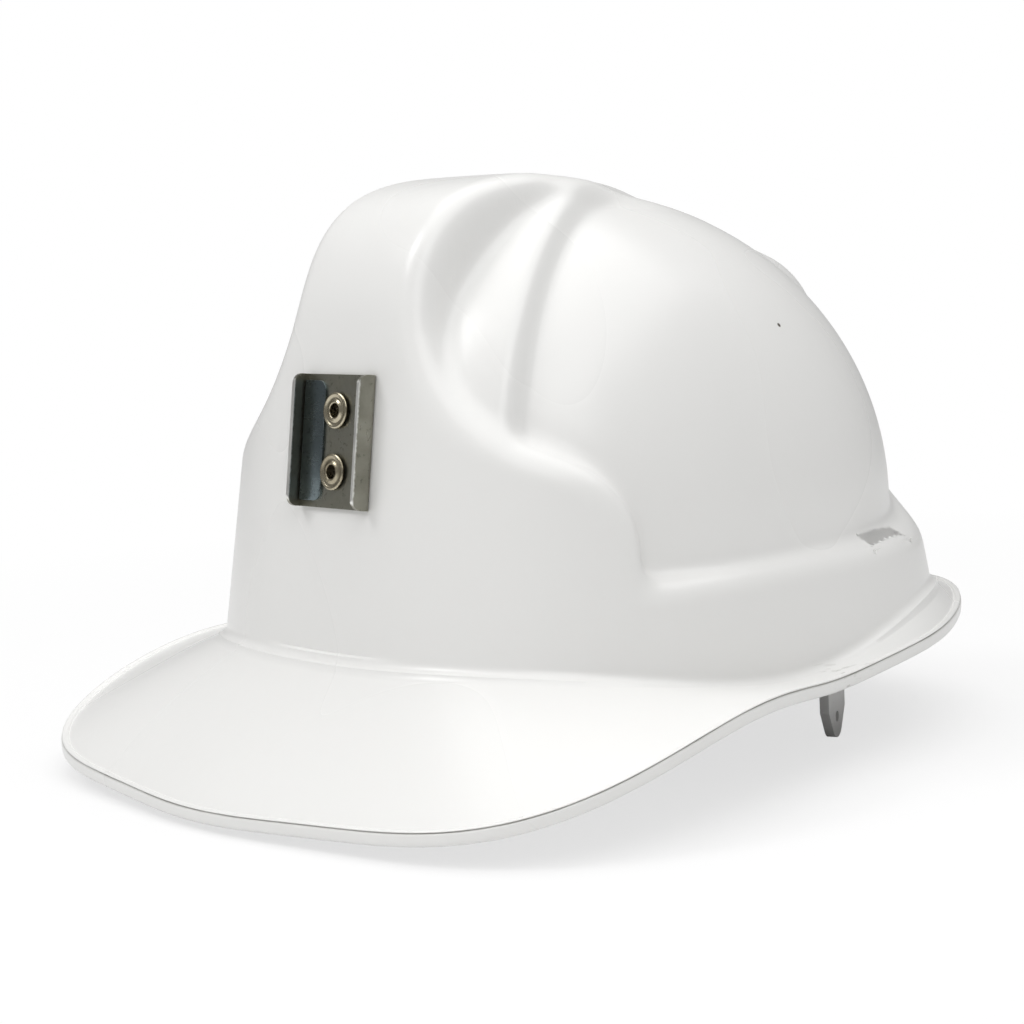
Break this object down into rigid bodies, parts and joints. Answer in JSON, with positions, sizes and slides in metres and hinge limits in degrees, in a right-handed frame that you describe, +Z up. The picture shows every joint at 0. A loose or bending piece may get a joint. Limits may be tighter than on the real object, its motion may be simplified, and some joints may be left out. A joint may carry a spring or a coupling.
{
  "type": "miner helmet",
  "caption": "Brimmed miner's hard hat with a front cap-lamp bracket, a rear cord clip, a webbing cradle and a headband that a ratchet knob adjusts.",
  "frame": {"origin": "centre of the head opening, level with the root of the side brim", "axes": "+Z up out of the crown, -Y is the front with the peak and the lamp bracket, +X is the wearer's left"},
  "size_m": [0.2628, 0.3005, 0.1908],
  "materials": {
    "shell": "glossy white moulded plastic",
    "zinc": "zinc-plated sheet steel",
    "spring_steel": "tempered spring steel",
    "nickel": "nickel-plated, a little dull",
    "webbing": "woven webbing",
    "pad": "soft padded cloth",
    "harness": "satin light grey plastic",
    "ratchet": "satin dark grey plastic",
    "gear": "natural acetal"
  },
  "bodies": {
    "helmet": {"shell": "shell", "lamp_bracket": "zinc", "bracket_spring": "spring_steel", "bracket_eyelets": "nickel", "eyelet_washers": "zinc", "cord_clip": "zinc", "cord_clip_rivets": "nickel", "key_front_left": "harness", "key_front_right": "harness", "key_rear_left": "harness", "key_rear_right": "harness", "strap_lower": "webbing", "strap_upper": "webbing", "crown_pad": "pad"},
    "headband": {"headband": "harness", "brow_pad": "pad", "ratchet_housing": "ratchet", "ratchet_cover": "ratchet", "ratchet_screws": "zinc", "nape_pad": "pad"},
    "knob": {"ratchet_knob": "ratchet", "ratchet_pinion": "gear", "ratchet_pawl": "gear"},
    "nape_strap_left": {"nape_strap_left": "harness"},
    "nape_strap_right": {"nape_strap_right": "harness"}
  },
  "joints": [
    {"name": "band_height", "type": "slide", "parent": "helmet", "child": "headband", "axis": [0, 0, 1], "range_m": [-0.004, 0.004]},
    {"name": "knob_turn", "type": "hinge", "parent": "headband", "child": "knob", "pos_m": [0, 0.1081, 0], "axis": [0, 1, 0], "range_deg": [-66, 66]},
    {"name": "strap_left_draw", "type": "hinge", "parent": "headband", "child": "nape_strap_left", "pos_m": [0, 0.038, 0], "axis": [0, 0, 1], "range_deg": [-4.25, 4.25]},
    {"name": "strap_right_draw", "type": "hinge", "parent": "headband", "child": "nape_strap_right", "pos_m": [0, 0.038, 0], "axis": [0, 0, 1], "range_deg": [-4.25, 4.25]}
  ],
  "couplings": [
    {"joint": "strap_left_draw", "follows": "knob_turn", "ratio": -0.064194},
    {"joint": "strap_right_draw", "follows": "knob_turn", "ratio": 0.064194}
  ]
}
